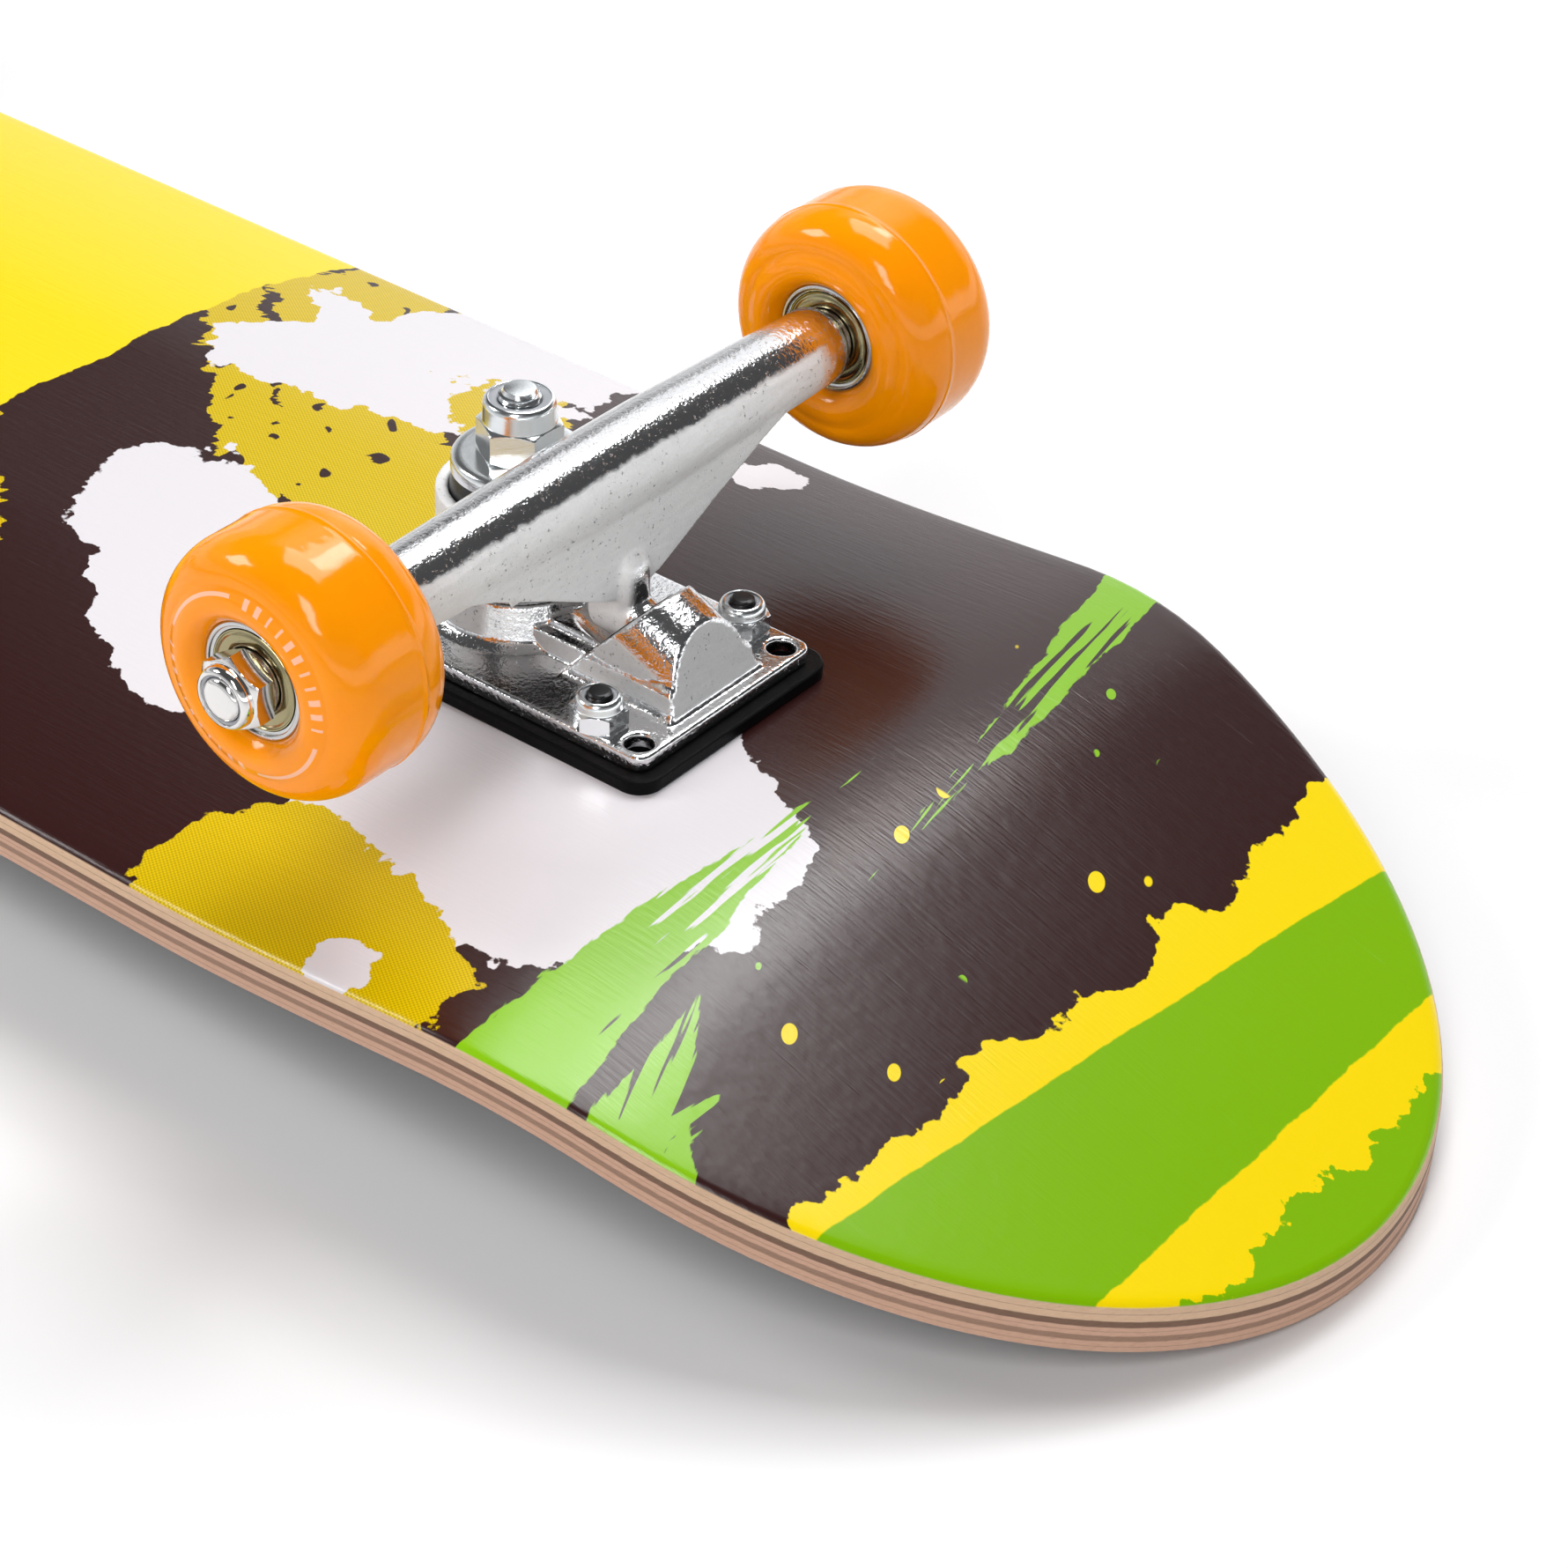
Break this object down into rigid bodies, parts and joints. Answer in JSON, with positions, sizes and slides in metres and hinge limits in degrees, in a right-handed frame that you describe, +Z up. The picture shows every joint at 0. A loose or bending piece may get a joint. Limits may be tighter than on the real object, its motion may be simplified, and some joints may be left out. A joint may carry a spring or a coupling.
{
  "type": "skateboard",
  "caption": "Double-kick laminated deck with grip tape, kingpin trucks that steer against rubber bushings, and cast wheels on ball bearings; stored upside down.",
  "frame": {"origin": "on the floor, under the middle of the board, which lies upside down on the tips of its nose and tail", "axes": "+X along the board towards the nose, +Y across it to the left when looking towards the nose, +Z up, the way the wheels point; turn the row 180 degrees about X to stand it on its wheels"},
  "size_m": [0.78, 0.196, 0.1146],
  "materials": {
    "maple_deck": "laminated maple, printed and lacquered",
    "grip_tape": "black abrasive sheet",
    "riser_rubber": "moulded, satin",
    "cast_aluminium": "cast, partly polished",
    "pivot_nylon": "moulded, matt",
    "zinc_steel": "bright zinc plated",
    "black_steel": "black oxide",
    "bushing_rubber": "cast, satin",
    "axle_steel": "bright plated",
    "bearing_steel": "ground and polished",
    "cage_brass": "stamped",
    "shield_metal": "bronze-tinted, polished",
    "wheel_urethane": "cast, glossy"
  },
  "bodies": {
    "board": {"deck": "maple_deck", "griptape": "grip_tape", "riser_pad_front": "riser_rubber", "baseplate_front": "cast_aluminium", "pivot_cup_front": "pivot_nylon", "kingpin_front": "zinc_steel", "kingpin_nut_front": "zinc_steel", "board_bushing_front": "bushing_rubber", "road_bushing_front": "bushing_rubber", "board_washer_front": "zinc_steel", "road_washer_front": "zinc_steel", "deck_bolts_front": "black_steel", "deck_nuts_front": "zinc_steel", "riser_pad_rear": "riser_rubber", "baseplate_rear": "cast_aluminium", "pivot_cup_rear": "pivot_nylon", "kingpin_rear": "zinc_steel", "kingpin_nut_rear": "zinc_steel", "board_bushing_rear": "bushing_rubber", "road_bushing_rear": "bushing_rubber", "board_washer_rear": "zinc_steel", "road_washer_rear": "zinc_steel", "deck_bolts_rear": "black_steel", "deck_nuts_rear": "zinc_steel"},
    "hanger_front": {"hanger_front": "cast_aluminium", "axle_front": "axle_steel", "axle_nuts_front": "axle_steel", "speed_washers_front": "zinc_steel", "bearing_inner_races_front": "bearing_steel"},
    "wheel_front_left": {"wheel_front_left": "wheel_urethane", "bearing_outer_races_front_left": "bearing_steel", "bearing_shields_front_left": "shield_metal"},
    "balls_front_left": {"bearing_balls_front_left": "bearing_steel", "bearing_cages_front_left": "cage_brass"},
    "wheel_front_right": {"wheel_front_right": "wheel_urethane", "bearing_outer_races_front_right": "bearing_steel", "bearing_shields_front_right": "shield_metal"},
    "balls_front_right": {"bearing_balls_front_right": "bearing_steel", "bearing_cages_front_right": "cage_brass"},
    "hanger_rear": {"hanger_rear": "cast_aluminium", "axle_rear": "axle_steel", "axle_nuts_rear": "axle_steel", "speed_washers_rear": "zinc_steel", "bearing_inner_races_rear": "bearing_steel"},
    "wheel_rear_left": {"wheel_rear_left": "wheel_urethane", "bearing_outer_races_rear_left": "bearing_steel", "bearing_shields_rear_left": "shield_metal"},
    "balls_rear_left": {"bearing_balls_rear_left": "bearing_steel", "bearing_cages_rear_left": "cage_brass"},
    "wheel_rear_right": {"wheel_rear_right": "wheel_urethane", "bearing_outer_races_rear_right": "bearing_steel", "bearing_shields_rear_right": "shield_metal"},
    "balls_rear_right": {"bearing_balls_rear_right": "bearing_steel", "bearing_cages_rear_right": "cage_brass"}
  },
  "joints": [
    {"name": "front_steer", "type": "hinge", "parent": "board", "child": "hanger_front", "pos_m": [0.1948, 0, 0.0747], "axis": [0.9157, 0, -0.4019], "range_deg": [-12, 12], "stiffness_Nm_per_rad": 60, "deforming": ["board_bushing_front", "road_bushing_front"]},
    {"name": "front_left_spin", "type": "hinge", "parent": "hanger_front", "child": "wheel_front_left", "pos_m": [0.2146, 0.0781, 0.0902], "axis": [0, 1, 0], "continuous": true},
    {"name": "front_left_balls", "type": "hinge", "parent": "hanger_front", "child": "balls_front_left", "pos_m": [0.2146, 0.0781, 0.0902], "axis": [0, 1, 0], "continuous": true},
    {"name": "front_right_spin", "type": "hinge", "parent": "hanger_front", "child": "wheel_front_right", "pos_m": [0.2146, -0.0781, 0.0902], "axis": [0, 1, 0], "continuous": true},
    {"name": "front_right_balls", "type": "hinge", "parent": "hanger_front", "child": "balls_front_right", "pos_m": [0.2146, -0.0781, 0.0902], "axis": [0, 1, 0], "continuous": true},
    {"name": "rear_steer", "type": "hinge", "parent": "board", "child": "hanger_rear", "pos_m": [-0.1948, 0, 0.0747], "axis": [-0.9157, 0, -0.4019], "range_deg": [-12, 12], "stiffness_Nm_per_rad": 60, "deforming": ["board_bushing_rear", "road_bushing_rear"]},
    {"name": "rear_left_spin", "type": "hinge", "parent": "hanger_rear", "child": "wheel_rear_left", "pos_m": [-0.2146, 0.0781, 0.0902], "axis": [0, 1, 0], "continuous": true},
    {"name": "rear_left_balls", "type": "hinge", "parent": "hanger_rear", "child": "balls_rear_left", "pos_m": [-0.2146, 0.0781, 0.0902], "axis": [0, 1, 0], "continuous": true},
    {"name": "rear_right_spin", "type": "hinge", "parent": "hanger_rear", "child": "wheel_rear_right", "pos_m": [-0.2146, -0.0781, 0.0902], "axis": [0, 1, 0], "continuous": true},
    {"name": "rear_right_balls", "type": "hinge", "parent": "hanger_rear", "child": "balls_rear_right", "pos_m": [-0.2146, -0.0781, 0.0902], "axis": [0, 1, 0], "continuous": true}
  ],
  "couplings": [
    {"joint": "front_left_balls", "follows": "front_left_spin", "ratio": 0.6267},
    {"joint": "front_right_balls", "follows": "front_right_spin", "ratio": 0.6267},
    {"joint": "rear_left_balls", "follows": "rear_left_spin", "ratio": 0.6267},
    {"joint": "rear_right_balls", "follows": "rear_right_spin", "ratio": 0.6267}
  ]
}
